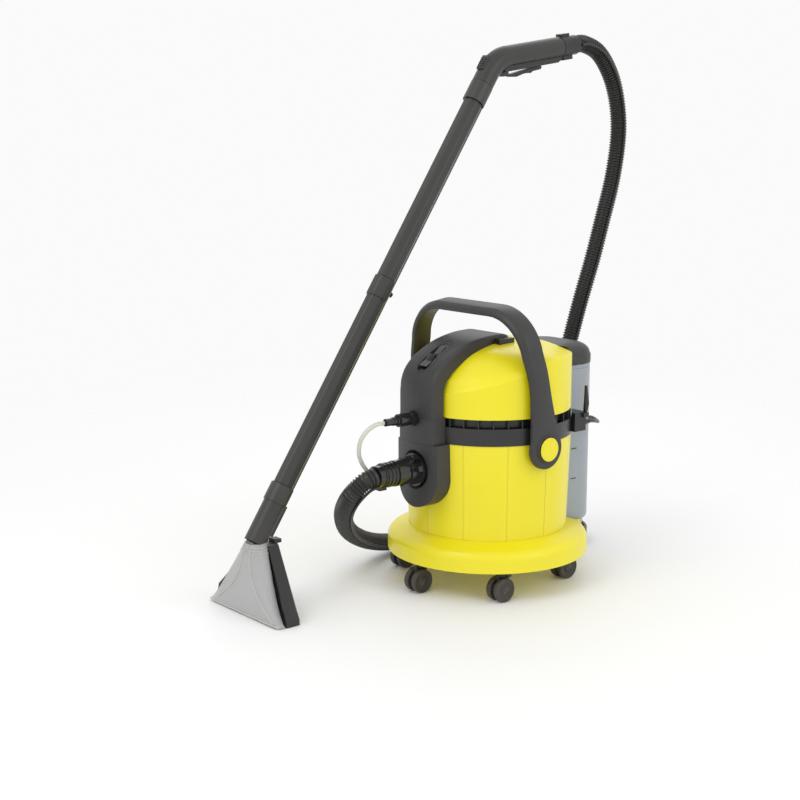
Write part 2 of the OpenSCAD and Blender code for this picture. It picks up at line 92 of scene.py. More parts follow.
# ---- shader maths ----
class Link:
    def __init__(self, tree, socket):
        self.tree, self.socket = tree, socket

    def maths(self, operation, *others, turned=False):
        node = self.tree.nodes.new("ShaderNodeMath")
        node.operation = operation
        terms = [self, *others]
        if turned:
            terms.reverse()
        for plug, term in zip(node.inputs, terms):
            feed(self.tree, plug, term)
        return Link(self.tree, node.outputs[0])

    def __add__(self, other): return self.maths("ADD", other)
    def __radd__(self, other): return self.maths("ADD", other)
    def __sub__(self, other): return self.maths("SUBTRACT", other)
    def __rsub__(self, other): return self.maths("SUBTRACT", other, turned=True)
    def __mul__(self, other): return self.maths("MULTIPLY", other)
    def __rmul__(self, other): return self.maths("MULTIPLY", other)
    def __truediv__(self, other): return self.maths("DIVIDE", other)
    def __rtruediv__(self, other): return self.maths("DIVIDE", other, turned=True)
    def __pow__(self, other): return self.maths("POWER", other)


def feed(tree, plug, value):
    if isinstance(value, Link):
        tree.links.new(value.socket, plug)
    else:
        plug.default_value = value


class Finish:
    def __init__(self, name, constants):
        self.mat = bpy.data.materials.new(name)
        self.mat.use_nodes = True
        self.tree = self.mat.node_tree
        self.shader = self.tree.nodes["Principled BSDF"]
        for key, value in constants.items():
            self.shader.inputs[key].default_value = value

    def node(self, kind, settings=None, values=None, out=0):
        node = self.tree.nodes.new("ShaderNode" + kind)
        for key, value in (settings or {}).items():
            if key == "stops":
                ramp = node.color_ramp
                while len(ramp.elements) < len(value):
                    ramp.elements.new(0.5)
                for element, (at, shade) in zip(ramp.elements, value):
                    element.position, element.color = at, shade
            else:
                setattr(node, key, value)
        for key, value in (values or {}).items():
            feed(self.tree, node.inputs[key], value)
        return Link(self.tree, node.outputs[out])

    def noise(self, scale, detail=3.0, place=None):
        place = place or self.node("TexCoord", out=3)
        return self.node("TexNoise", {}, {"Vector": place, "Scale": scale, "Detail": detail})

    def mixed(self, factor, first, second):
        return self.node("Mix", {"data_type": "RGBA"}, {0: factor, 6: first, 7: second}, out=2)

    def wear(self):      # 1 on outer edges and corners, 0 on flat faces
        point = self.node("NewGeometry", out=7)
        return self.node("ValToRGB", {"stops": [(0.52, (0, 0, 0, 1)), (0.62, (1, 1, 1, 1))]}, {"Fac": point})

    def use(self, plug, value):
        feed(self.tree, self.shader.inputs[plug], value)
        return self

    def relief(self, height, strength, distance, edge=0.0):
        values = {"Height": height, "Strength": strength, "Distance": distance}
        if edge:
            values["Normal"] = self.node("Bevel", {"samples": 4}, {"Radius": edge})
        return self.use("Normal", self.node("Bump", {}, values))


def plastic(name, set):
    finish = Finish(name, {"IOR": 1.5, "Coat Roughness": 0.15, "Coat Weight": set.get("coat", 0.0)})
    cloud = finish.noise(set.get("cloudScale", 9.0), 4.0)
    grain = finish.noise(set["grainScale"], 2.0)
    dark, light = set["dark"], set["light"]
    tone = finish.mixed(cloud, (*dark, 1), (*light, 1))
    tone = finish.mixed(finish.wear() * set.get("wear", 0.25), tone, (*set.get("worn", light), 1))
    finish.use("Base Color", tone)
    finish.use("Roughness", set["rough"] + (grain - 0.5) * set.get("roughSwing", 0.12) + (cloud - 0.5) * 0.08)
    finish.relief(grain, set["grain"], 0.0006, set.get("edge", 0.0009))
    return finish


plasticSet = {
    "yellowShell": {
        "dark": (0.79, 0.685, 0.006), "light": (0.86, 0.755, 0.010), "worn": (0.9, 0.82, 0.06),
        "rough": 0.36, "grainScale": 620.0, "grain": 0.05, "coat": 0.1, "edge": 0.0008,
    },
    "charcoalPlastic": {
        "dark": (0.024, 0.023, 0.0225), "light": (0.034, 0.0325, 0.032), "worn": (0.06, 0.058, 0.057),
        "rough": 0.46, "grainScale": 1500.0, "grain": 0.16, "edge": 0.0013,
    },
    "blackPlastic": {
        "dark": (0.010, 0.010, 0.010), "light": (0.016, 0.0155, 0.0155), "worn": (0.036, 0.036, 0.036),
        "rough": 0.34, "grainScale": 1300.0, "grain": 0.09, "edge": 0.0008,
    },
    "glossBlack": {
        "dark": (0.008, 0.008, 0.008), "light": (0.014, 0.014, 0.014), "worn": (0.03, 0.03, 0.03),
        "rough": 0.16, "grainScale": 700.0, "grain": 0.03, "coat": 0.3, "roughSwing": 0.05,
    },
    "tubePlastic": {
        "dark": (0.024, 0.0235, 0.022), "light": (0.034, 0.033, 0.031), "worn": (0.062, 0.06, 0.056),
        "rough": 0.38, "grainScale": 1100.0, "grain": 0.10, "edge": 0.0009,
    },
    "hosePlastic": {
        "dark": (0.011, 0.011, 0.010), "light": (0.020, 0.020, 0.018), "worn": (0.05, 0.05, 0.047),
        "rough": 0.36, "grainScale": 900.0, "grain": 0.07, "edge": 0.0, "wear": 0.3,
    },
    # matt grey: on the power cord it is painted sheen standing in for the highlights of a glossy black cable;
    # on the icon bars and level marks it is their own grey
    "cordSheath": {
        "dark": (0.055, 0.055, 0.056), "light": (0.075, 0.075, 0.077),
        "rough": 0.44, "grainScale": 900.0, "grain": 0.08, "edge": 0.0,
    },
    "casterPlastic": {
        "dark": (0.034, 0.029, 0.025), "light": (0.05, 0.043, 0.037), "worn": (0.14, 0.12, 0.105),
        "rough": 0.5, "grainScale": 800.0, "grain": 0.14, "wear": 0.5, "edge": 0.0006,
    },
    "floatPlastic": {
        "dark": (0.66, 0.63, 0.52), "light": (0.76, 0.73, 0.62),
        "rough": 0.4, "grainScale": 700.0, "grain": 0.06,
    },
    "pumpPlastic": {
        "dark": (0.24, 0.19, 0.11), "light": (0.33, 0.27, 0.16),
        "rough": 0.42, "grainScale": 800.0, "grain": 0.1,
    },
}
finishes = {name: plastic(name, set) for name, set in plasticSet.items()}


def clearFinish(name, tint, rough, transmission, alpha):
    finish = Finish(name, {"IOR": 1.46, "Transmission Weight": transmission})
    cloud = finish.noise(14.0, 3.0)
    finish.use("Base Color", finish.mixed(cloud, (*[c * 0.93 for c in tint], 1), (*tint, 1)))
    finish.use("Roughness", rough + (cloud - 0.5) * 0.1)
    finish.use("Alpha", alpha + (cloud - 0.5) * 0.04)
    finish.relief(finish.noise(500.0), 0.04, 0.0005)
    return finish


finishes["clearHood"] = clearFinish("clearHood", (0.62, 0.62, 0.62), 0.12, 0.25, 0.72)
finishes["tankPlastic"] = clearFinish("tankPlastic", (0.42, 0.46, 0.50), 0.34, 0.2, 0.93)
finishes["milkyTube"] = clearFinish("milkyTube", (0.78, 0.78, 0.70), 0.25, 0.35, 0.9)
steel = Finish("motorSteel", {"Metallic": 1.0})
brushed = steel.noise(60.0, 6.0)
steel.use("Base Color", steel.mixed(brushed, (0.38, 0.38, 0.4, 1), (0.56, 0.56, 0.57, 1)))
steel.use("Roughness", 0.3 + brushed * 0.2).relief(brushed, 0.05, 0.0005)
finishes["motorSteel"] = steel
print("finishes ready:", len(finishes))

finishNodes = {
    "yellowShell": "base_ring drum head_cover pivot_caps",
    "charcoalPlastic": "drum_panel band_panel head_panel pivot_pins carry_handle tank_lid",
    "blackPlastic": "spray_clip power_plug head_band vent_ribs motor_plate float_cage top_bar cable_gland"
                    " cord_sleeve rear_housing switch_frame nozzle_body grip_insert grip_end spray_trigger"
                    " hood_latch tube_button",
    "glossBlack": "suction_port hose_cuff coupling vacuum_switch spray_switch trigger_lock air_slider",
    "tubePlastic": "nozzle_neck lower_tube upper_tube tube_collar grip_shell",
    "tankPlastic": "tank_shell", "clearHood": "nozzle_hood", "milkyTube": "spray_tube",
    "hosePlastic": "suction_hose", "cordSheath": "power_cord cord_coil",
    "motorSteel": "vacuum_motor", "pumpPlastic": "spray_pump", "floatPlastic": "float_ball",
}
nodeFinish = {node: finish for finish, group in finishNodes.items() for node in group.split()}
for name, node in nodes.items():
    key = nodeFinish.get(name) or ("blackPlastic" if "fork" in name else "casterPlastic")
    node.data.materials.clear()
    node.data.materials.append(finishes[key].mat)


# ---- mesh helpers ----
def weld(mesh):      # joins points that meet and turns every face outwards
    build = bmesh.new()
    build.from_mesh(mesh)
    bmesh.ops.remove_doubles(build, verts=build.verts, dist=1e-6)
    bmesh.ops.recalc_face_normals(build, faces=build.faces)
    build.to_mesh(mesh)
    build.free()


def piece(name, points, faces, body, finish, slot, sharp=38, blended=None):
    mesh = bpy.data.meshes.new(name)
    mesh.from_pydata([tuple(p) for p in points], [], faces)
    mesh.validate()
    weld(mesh)
    mesh.shade_smooth()
    mesh.set_sharp_from_angle(angle=math.radians(sharp))
    mesh.materials.append(finishes[finish].mat)
    obj = bpy.data.objects.new(name, mesh)
    bpy.context.scene.collection.objects.link(obj)
    if blended:
        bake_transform(obj)
    else:
        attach(obj, body)
    return obj


def loft(rings, capped=True, closed=False):
    count = len(rings[0])
    points = [p for ring in rings for p in ring]
    faces = []
    for i in range(len(rings) - (0 if closed else 1)):
        j = (i + 1) % len(rings)
        for k in range(count):
            m = (k + 1) % count
            faces.append((i * count + k, i * count + m, j * count + m, j * count + k))
    if capped and not closed:
        faces.append(tuple(range(count - 1, -1, -1)))
        faces.append(tuple(range((len(rings) - 1) * count, len(rings) * count)))
    return points, faces


def gather(*meshes):      # several lists of points and faces as one
    points, faces = [], []
    for p, f in meshes:
        shift = len(points)
        points += [Vector(q) for q in p]
        faces += [tuple(k + shift for k in face) for face in f]
    return points, faces


def roundAngles(sides):
    return [math.tau * k / sides for k in range(sides)]


def lathe(profile, place, sides=64):      # (radius, height) round the local Z axis
    rings = []
    for r, h in profile:
        r = max(r, 1e-5)
        rings.append([place @ Vector((r * math.cos(a), r * math.sin(a), h)) for a in roundAngles(sides)])
    return loft(rings)


def smoothLine(points, steps):      # Catmull-Rom through the points
    points = [Vector(p) for p in points]
    last = len(points) - 1
    line = []
    for i in range(last * steps + 1):
        u = min(i / steps, last - 1e-9)
        k = int(u)
        t = u - k
        a, b, c, d = points[max(k - 1, 0)], points[k], points[k + 1], points[min(k + 2, last)]
        line.append(0.5 * ((2 * b) + (c - a) * t + (2 * a - 5 * b + 4 * c - d) * t * t
                           + (3 * b - a - 3 * c + d) * t * t * t))
    return line


def lengthOf(line):
    return sum((b - a).length for a, b in zip(line, line[1:]))


def evenly(line, gap):      # the same line with points every gap
    total = lengthOf(line)
    count = max(2, round(total / gap))
    spots, walked, k = [], 0.0, 0
    for i in range(count + 1):
        want = total * i / count
        while k < len(line) - 2 and walked + (line[k + 1] - line[k]).length < want:
            walked += (line[k + 1] - line[k]).length
            k += 1
        step = (line[k + 1] - line[k]).length
        spots.append(line[k].lerp(line[k + 1], min(1.0, (want - walked) / step if step else 0)))
    return spots


def headingAt(line, i):
    return (line[min(i + 1, len(line) - 1)] - line[max(i - 1, 0)]).normalized()


def carried(line, start):      # heading and two side directions at each point, without twist
    sideways, found = Vector(start), []
    for i, p in enumerate(line):
        heading = headingAt(line, i)
        sideways = (sideways - heading * sideways.dot(heading)).normalized()
        found.append((p, heading, sideways.copy(), heading.cross(sideways)))
    return found


def tubeMesh(line, radius, sides, start=(1, 0, 0)):
    rings = []
    for i, (p, _, a, b) in enumerate(carried(line, start)):
        r = radius(i) if callable(radius) else radius
        rings.append([p + a * (r * math.cos(t)) + b * (r * math.sin(t)) for t in roundAngles(sides)])
    return loft(rings)


def mm(points):
    return [Vector(p) / 1000 for p in points]


def carve(obj, cutter):      # subtracts a closed mesh from a piece, for good
    tool = obj.modifiers.new("carve", "BOOLEAN")
    tool.operation, tool.object, tool.solver = "DIFFERENCE", cutter, "EXACT"
    bpy.context.view_layer.update()
    shape = bpy.data.meshes.new_from_object(obj.evaluated_get(bpy.context.evaluated_depsgraph_get()))
    obj.modifiers.clear()
    obj.data = shape
    obj.data.shade_smooth()
    obj.data.set_sharp_from_angle(angle=math.radians(32))
    bpy.data.objects.remove(cutter)


def plainMesh(points, faces):      # a closed mesh to carve with
    mesh = bpy.data.meshes.new("cutter")
    mesh.from_pydata([tuple(p) for p in points], [], faces)
    weld(mesh)
    obj = bpy.data.objects.new("cutter", mesh)
    bpy.context.scene.collection.objects.link(obj)
    return obj


# ---- cords ----
hoseSet = {
    "outer": 17.5, "valley": 15.0, "pitch": 5.6, "line": 2.6, "lineOut": 19.3, "lineTurn": -60,
    "route": [(-100, 322.5, 1020), (-100, 350, 1022), (-100, 396, 1004), (-100, 436, 955), (-100, 457, 892),
              (-100, 460, 828), (-100, 445, 746), (-100, 418, 664), (-101, 391, 582), (-104, 362, 500),
              (-108, 336, 415), (-116, 315, 330), (-127, 298, 245), (-143, 279, 160), (-165, 250, 88),
              (-193, 207, 42), (-215, 150, 24), (-227, 80, 19), (-229, 10, 19), (-224, -60, 24),
              (-205, -125, 42), (-172, -186, 70), (-132, -240, 103), (-92, -281, 138), (-54, -309, 172),
              (-22, -318, 204), (-5, -302, 229), (0, -280, 237)],
}
sprayTubeSet = {
    "radius": 4.0,
    "route": [(0, -259.6, 334), (-1, -276, 333), (-5, -294, 323), (-12, -303, 305), (-20, -301, 282),
              (-27, -289, 260), (-31, -272, 240), (-31, -258, 224), (-26, -250, 212)],
}
cordSet = {
    "radius": 3.5, "centre": (-80, 290), "layers": 4, "firstHeight": 3.6, "rise": 7.0, "perTurn": 28,
    "rings": (52.5, 45.5, 38.5, 31.5), "start": 14, "easeFrom": 58.5, "plugHeight": 46, "gap": 0.0052,
    "tieTurn": -112, "tieOut": 0.042, "tieReach": 0.0155, "tieRise": 0.0150, "tieMiddle": 0.0152,
    "tieRound": 1.35,
    "route": [(128, 146.8, 305), (127, 160, 303), (114, 182, 297), (96, 204, 291), (72, 223, 289),
              (44, 238, 287), (14, 247, 276), (-10, 252, 246), (-24, 254, 200), (-28, 256, 150),
              (-25, 255, 100), (-21, 256, 60), (-18, 262, 30), (-18, 275, 9), (-20.5, 292, 3.7)],
}


def makeHose():
    set = hoseSet
    line = evenly(smoothLine(mm(reversed(set["route"])), 12), set["pitch"] / 4000)
    wave = (1.0, 1.0, 0.0, 0.0)
    last = len(line) - 1

    def radius(i):
        crest = wave[i % 4] if 3 < i < last - 3 else 1.0
        return (set["valley"] + (set["outer"] - set["valley"]) * crest) / 1000
    body = tubeMesh(line, radius, 30)
    turn = math.radians(set["lineTurn"])
    beside = []
    for p, _, a, b in carried(line, (1, 0, 0))[::4]:
        beside.append(p + (a * math.cos(turn) + b * math.sin(turn)) * (set["lineOut"] / 1000))
    whole = gather(body, tubeMesh(beside, set["line"] / 1000, 10))
    hose = piece("suctionHose", *whole, "root", "hosePlastic", "hose_plastic", sharp=50)
    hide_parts("suction_hose")
    length = lengthOf(line)
    [tuple(p) for p in line[::4]] + [tuple(line[-1])]
    print("hose length", round(length, 3))


def makeSprayTube():
    set = sprayTubeSet
    line = smoothLine(mm(set["route"]), 8)
    tube = piece("sprayTube", *tubeMesh(line, set["radius"] / 1000, 16), "root", "milkyTube", "clear_plastic",
                 blended=("head", "root", line[0], line[-1]))
    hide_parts("spray_tube")
    round(lengthOf(line), 3)
    print("spray tube length", round(lengthOf(line), 3))


def coilTurns():      # rings laid side by side, then back again one layer up
    set = cordSet
    cx, cy = set["centre"]
    turns = []
    rings = list(set["rings"])
    lastRing = len(rings) - 1
    start = math.radians(set["start"])
    outer = rings[0]
    for k in range(5):      # easing in from the floor
        angle = start * (0.35 + 0.65 * k / 5)
        rr = set["easeFrom"] + (outer - set["easeFrom"]) * k / 5
        turns.append((cx + rr * math.cos(angle), cy + rr * math.sin(angle), set["firstHeight"]))
    for layer in range(set["layers"]):
        z = set["firstHeight"] + layer * set["rise"]
        for spot, r in enumerate(rings):
            for k in range(set["perTurn"]):
                t = k / set["perTurn"]
                step = max(0.0, (t - 0.6) / 0.4)      # each turn ends by stepping to the next one
                step = step * step * (3 - 2 * step)
                nextR, nextZ = (rings[spot + 1], z) if spot < lastRing else (r, z + set["rise"])
                if layer == set["layers"] - 1 and spot == lastRing:
                    nextR, nextZ = r, z
                angle = math.tau * t + start
                rr, zz = r + (nextR - r) * step, z + (nextZ - z) * step
                turns.append((cx + rr * math.cos(angle), cy + rr * math.sin(angle), zz))
        rings.reverse()
    top = set["firstHeight"] + (set["layers"] - 1) * set["rise"]
    for k in range(6):      # last part turn, rising on to the coil
        t = k / 5
        angle = start + math.radians(76) * t
        turns.append((cx + outer * math.cos(angle), cy + outer * math.sin(angle), top + 5.5 * t * t))
    return turns, top, outer


def makePowerCord():
    set = cordSet
    cx, cy = set["centre"]
    down = smoothLine(mm(set["route"]), 8)
    turns, top, outer = coilTurns()
    tail = [(cx - 14, cy + outer, top + 8), (cx - 30, cy + outer, top + 11)]
    for k in range(1, 8):      # half a loop back to the plug
        angle = math.radians(90 + 180 * k / 8)
        tail.append((cx - 42 + outer / 2 * math.cos(angle), cy + outer / 2 + outer / 2 * math.sin(angle),
                     top + 12 + 8 * k / 8))
    tail.append((cx - 42, cy, set["plugHeight"]))
    tail.append((cx - 34, cy, set["plugHeight"]))
    line = evenly(down + smoothLine(mm(turns + tail), 2), set["gap"])
    shape = tubeMesh(line, set["radius"] / 1000, 10, (0, 0, 1))
    # the cord's grey colour is painted sheen: the real cable is glossy black
    cord = piece("powerCord", *shape, "root", "cordSheath", "grey_cord",
                 blended=("head", "root", down[0], down[60]))
    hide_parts("power_cord", "cord_coil")
    round(lengthOf(line), 2)
    makeCordTie()
    print("power cord length", round(lengthOf(line), 3))


def makeCordTie():
    set = cordSet
    angle = math.radians(set["tieTurn"])
    out = Vector((math.cos(angle), math.sin(angle), 0))
    across = Vector((-math.sin(angle), math.cos(angle), 0))
    middle = Vector((*set["centre"], 0)) / 1000
    tie = []
    for a in roundAngles(32):
        u = max(-1, min(1, set["tieRound"] * math.cos(a))) * set["tieReach"] + set["tieOut"]
        v = max(-1, min(1, set["tieRound"] * math.sin(a))) * set["tieRise"] + set["tieMiddle"]
        tie.append((u, v))
    rings = []
    for side, grow in ((-0.006, 0.0), (-0.005, 0.0008), (0.005, 0.0008), (0.006, 0.0)):
        wide = 1 + grow * 50
        rings.append([middle + out * (set["tieOut"] + (u - set["tieOut"]) * wide) + Vector((0, 0, v))
                      + across * side for u, v in tie])
    return piece("cordTie", *loft(rings), "root", "blackPlastic", "black_plastic")


makeHose()
makeSprayTube()
makePowerCord()
print("cords laid")

# ---- head ----
coverSet = {
    "radius": 157.5, "flat": 104.0, "bottom": 336.3, "tilt": 12.0, "pivot": 438.0, "ball": 463.0,
    "ballAt": (10.0, 3.0), "soft": 3.0, "crease": 153.0, "sides": 120,
    "dome": [(0, 33), (33, 32.4), (66, 30.5), (83, 29), (100, 26), (117, 20), (132, 12), (143, 5),
             (153, -2), (166, -25), (290, -245)],
}
stripSet = {
    "half": 47.0, "deep": 26.0, "round": 3.0, "front": 189.0,
    "line": [(-189, 336.3), (-189, 352), (-189, 368), (-188.6, 384), (-184.5, 402), (-170, 424),
             (-141, 447), (-100, 466), (-56, 476), (-20, 478.5), (-6, 478), (4, 475), (8, 470)],
    "slope": (-142, 444, 36), "pill": (80, 26, 7.0), "oval": (21, 48, 2), "plate": -3.5,
}


def coverHeight(x, y):      # height of the cover's top, and how far out on the tilted dome it is
    set = coverSet
    c, s = math.cos(math.radians(set["tilt"])), math.sin(math.radians(set["tilt"]))

    def reach(z):
        yy = y * c + (z - set["pivot"]) * s
        zz = -y * s + (z - set["pivot"]) * c
        return math.hypot(x, yy), zz

    def profile(r):
        dome = set["dome"]
        for k in range(len(dome) - 1):
            if r <= dome[k + 1][0]:
                a, b, t = dome[k], dome[k + 1], (r - dome[k][0]) / (dome[k + 1][0] - dome[k][0])
                if r < set["crease"]:      # smooth between the points
                    p, q = dome[max(k - 1, 0)], dome[min(k + 2, 8)]
                    m0 = (b[1] - p[1]) / (b[0] - p[0]) if k else 0
                    m1 = (q[1] - a[1]) / (q[0] - a[0])
                    w = b[0] - a[0]
                    return ((2 * t ** 3 - 3 * t * t + 1) * a[1] + (t ** 3 - 2 * t * t + t) * w * m0
                            + (3 * t * t - 2 * t ** 3) * b[1] + (t ** 3 - t * t) * w * m1)
                return a[1] + (b[1] - a[1]) * t
        return dome[-1][1]
    low, high = 330.0, 500.0
    for _ in range(40):
        mid = (low + high) / 2
        r, zz = reach(mid)
        if zz < profile(r):
            low = mid
        else:
            high = mid
    out = reach(low)[0]
    by, bz = set["ballAt"]
    ball = bz + math.sqrt(max(0, set["ball"] ** 2 - x * x - (y - by) ** 2))
    gap = set["soft"]      # soft meeting of the dome and the ball
    h = max(gap - abs(low - ball), 0) / gap
    return min(low, ball) - h * h * gap / 4, out


def makeCover():
    set = coverSet
    columns = []
    for k in range(set["sides"]):
        angle = math.tau * k / set["sides"]
        ux, uy = math.cos(angle), math.sin(angle)
        rim = set["radius"]
        if uy * rim > set["flat"]:
            rim = set["flat"] / uy
        fold, low, high = rim, 20.0, rim
        if coverHeight(ux * (rim - 0.4), uy * (rim - 0.4))[1] > set["crease"]:
            for _ in range(24):
                mid = (low + high) / 2
                if coverHeight(ux * mid, uy * mid)[1] < set["crease"]:
                    low = mid
                else:
                    high = mid
            fold = low
        fold = min(fold, rim - 1.5)
        radii = [fold * math.sin(math.pi / 2 * t / 15) for t in range(1, 15)]
        radii += [fold - 0.8, fold, fold + 0.6]
        radii += [fold + 0.6 + (rim - fold - 1.0) * t / 3 for t in (1, 2)] + [rim - 0.35]
        column = [(ux * r, uy * r, coverHeight(ux * r, uy * r)[0]) for r in radii]
        edge = column[-1][2]
        foot = set["bottom"]
        for inset, z in ((0, edge - 0.7), (0, (edge + foot) / 2), (0, foot + 0.6), (0.5, foot), (2.6, foot),
                         (3.0, foot + 20)):
            column.append((ux * (rim - inset), uy * (rim - inset), z))
        columns.append(column)
    rings = [[Vector(column[j]) / 1000 for column in columns] for j in range(len(columns[0]))]
    points, faces = loft(rings, capped=False)
    points.append(Vector((0, 0, coverHeight(0, 0)[0])) / 1000)
    tip = len(points) - 1
    faces += [(tip, k, (k + 1) % set["sides"]) for k in range(set["sides"])]
    cover = piece("headCover", points, faces, "head", "yellowShell", "yellow_shell", sharp=24)
    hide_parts("head_cover")


def bend(p):      # the strip's front is part of a round wall, and its top is flat across
    x, y, z = p
    blend = max(0.0, min(1.0, (430 - z) / 40))
    return Vector((x, y + blend * (stripSet["front"] - math.sqrt(stripSet["front"] ** 2 - x * x)), z)) / 1000


def onSlope():      # the strip's slope, where the two rockers sit
    y, z, tilt = stripSet["slope"]
    return Matrix.Translation(Vector((0, y, z)) / 1000) @ Matrix.Rotation(math.radians(tilt), 4, "X")


def makeStrip():
    set = stripSet
    line = smoothLine([(0, y, z) for y, z in set["line"]], 6)
    h, q, deep = set["half"], set["round"], set["deep"]
    rings = []
    for i, p in enumerate(line):
        along = headingAt(line, i)
        out = Vector((0, -along.z, along.y))
        if i < 3:
            out, along = Vector((0, -1, 0)), Vector((0, 0, 1))
        side = [(h, -deep), (h, -q - 2.4), (h - 0.5, -q + 0.6), (h - 1.6, -1.1), (h - 3.6, -0.2), (h - 6, 0)]
        section = [(-x, d) for x, d in side]
        section += [(x, 0) for x in (-30, -18, -6, 6, 18, 30)]
        section += side[::-1]
        rings.append([bend(Vector((x, p.y, p.z)) + out * d) for x, d in section])
    strip = piece("headStrip", *loft(rings), "head", "charcoalPlastic", "dark_grey_plastic", sharp=32)
    y, place = set["slope"][0], onSlope()
    length, width, deep = set["pill"]
    rings = []
    for d, grow in ((-deep, 0), (0.0, 0), (2.0, 0.6), (20.0, 1.0)):
        ring = []
        for a in roundAngles(48):
            r = width / 2 + grow
            shift = (length - width) / 2 * (1 if math.sin(a) > 0 else -1)
            ring.append(place @ (Vector((r * math.cos(a), r * math.sin(a) + shift, d)) / 1000))
        rings.append(ring)
    carve(strip, plainMesh(*loft(rings)))
    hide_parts("head_panel")
    surface = [(p.y, p.z) for p in line]

    def onStrip(x, s):      # point on the strip's face at a distance s up from the slope's middle
        base = min(range(len(surface)), key=lambda i: abs(surface[i][0] - y) if surface[i][1] > 400 else 1e9)
        walked, i = 0.0, base
        step = 1 if s > 0 else -1
        while abs(walked) < abs(s) and 0 < i < len(surface) - 1:
            walked += step * math.dist(surface[i], surface[i + step])
            i += step
        over = (walked - s) / max(1e-6, math.dist(surface[i], surface[i - step]))
        py = surface[i][0] + (surface[i - step][0] - surface[i][0]) * abs(over)
        pz = surface[i][1] + (surface[i - step][1] - surface[i][1]) * abs(over)
        return bend((x, py, pz)) + Vector((0, -0.5, 0.7)) * 0.0001
    # shallow oval line round the switches, lying on the strip
    halfWide, halfLong, up = set["oval"]
    outline = []
    for k in range(73):
        a = math.tau * k / 72
        outline.append(onStrip(halfWide * math.cos(a), halfLong * math.sin(a) + up))
    piece("stripOval", *tubeMesh(outline, 0.00035, 6), "head", "blackPlastic", "black_plastic")


def makeSymbols():      # raised plate with four plain bars above the rockers
    place, base = onSlope(), stripSet["plate"]
    parts = []
    for cx, cy, w, l, h in ((0, 19, 14, 22, 1.0), (-3, 19, 1.2, 14, 1.5), (3, 19, 1.2, 14, 1.5),
                            (0, 12, 7, 1.2, 1.5), (0, 26, 7, 1.2, 1.5)):
        rings = []
        for d, cut in ((base, 0), (base + h, 0), (base + h + 0.4, 0.4)):
            corners = []
            for sx, sy in ((-1, -1), (1, -1), (1, 1), (-1, 1)):
                corners.append(place @ (Vector((cx + sx * (w / 2 - cut), cy + sy * (l / 2 - cut), d)) / 1000))
            rings.append(corners)
        parts.append(loft(rings))
    piece("symbolPlate", *gather(parts[0]), "head", "glossBlack", "black_plastic")
    piece("symbolBars", *gather(*parts[1:]), "head", "cordSheath", "grey_cord")


# ---- handle ----
handleSet = {
    "pivot": (-14, 280), "lean": 8.0, "armOut": 172.0, "armThick": 10.0, "topThick": 15.0, "width": 44.0,
    "corner": (70, 166), "cornerR": 92.0, "armTop": 116, "top": 258, "hubR": 38.0, "chamfer": 6.5,
}


def makeHandle():
    set = handleSet
    cx, cz = set["corner"]
    half = [(set["armOut"], z) for z in (0, 40, 80, set["armTop"])] + [(168.5, 146)]
    half += [(cx + set["cornerR"] * math.cos(a), cz + set["cornerR"] * math.sin(a))
             for a in [math.radians(6 + 84 * k / 10) for k in range(11)]]
    half += [(x, set["top"]) for x in (46, 23, 0)]
    outline = [Vector((x, 0, z)) for x, z in half]
    outline += [Vector((-x, 0, z)) for x, z in reversed(half[:-1])]
    line = evenly(smoothLine(outline, 6), 6.0)
    py, pz = set["pivot"]
    pivot = Matrix.Translation(Vector((0, py, pz)) / 1000)
    place = pivot @ Matrix.Rotation(math.radians(set["lean"]), 4, "X")
    rings = []
    for i, p in enumerate(line):
        along = headingAt(line, i)
        out = Vector((along.z, 0, -along.x))
        if out.dot(Vector((p.x, 0, p.z - 100))) < 0:
            out = -out
        lift = max(0.0, min(1.0, (p.z - 60) / 150))
        thick = set["armThick"] + (set["topThick"] - set["armThick"]) * lift
        c = set["chamfer"] * (0.35 + 0.65 * lift)
        flare = max(0.0, 1 - p.z / set["armTop"])
        w = set["width"] / 2 + (set["hubR"] - 1 - set["width"] / 2) * flare ** 1.25
        section = [(-w, -c - 0.8), (-w + 0.6, -c + 0.6), (-w + c * 1.3, -0.5), (-w + c * 1.3 + 1.4, 0),
                   (w - 3.2, 0), (w - 1.0, -0.7), (w, -2.6), (w, -thick + 2.6), (w - 1, -thick + 0.7),
                   (w - 3, -thick), (-w + 3, -thick), (-w + 1, -thick + 0.7), (-w, -thick + 2.6)]
        rings.append([place @ ((Vector((p.x, d, p.z)) + out * o) / 1000) for d, o in section])
    meshes = [loft(rings)]
    hubs = [pivot @ Matrix.Rotation(math.radians(90 * s), 4, "Y") for s in (-1, 1)]
    for hub in hubs:
        r = set["hubR"]
        profile = [(6.3, 161.7), (r - 1.5, 161.7), (r, 163), (r, 170.6), (r - 0.9, 172.0), (r - 2.5, 172.5),
                   (26.4, 172.7), (25.6, 174.8), (24.6, 175.8), (23.2, 176), (22.6, 175.4), (22.6, 174.6),
                   (6.3, 174.6)]
        meshes.append(lathe([(a / 1000, b / 1000) for a, b in profile], hub, 72))
    handle = piece("carryHandle", *gather(*meshes), "handle", "charcoalPlastic", "dark_grey_plastic",
                   sharp=34)
    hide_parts("carry_handle")
    caps = []
    for hub in hubs:
        profile = [(0, 176.8), (21.0, 176.8), (22, 177.2), (22, 178.6), (21.2, 179.6), (19.4, 180.0),
                   (18.6, 179.4), (17.6, 179.5), (9, 179.9), (0, 180.1)]
        caps.append(lathe([(a / 1000, b / 1000) for a, b in profile], hub, 64))
    cap = piece("pivotCaps", *gather(*caps), "handle", "yellowShell", "yellow_shell", sharp=28)
    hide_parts("pivot_caps")


# ---- tank ----
tankSet = {
    "half": 78.0, "front": 112.5, "rear": 228.0, "corner": 50.0, "bottom": 78.3, "top": 405.0, "lid": 405.3,
    "wall": 3.0, "marks": (180, 240, 300),
}


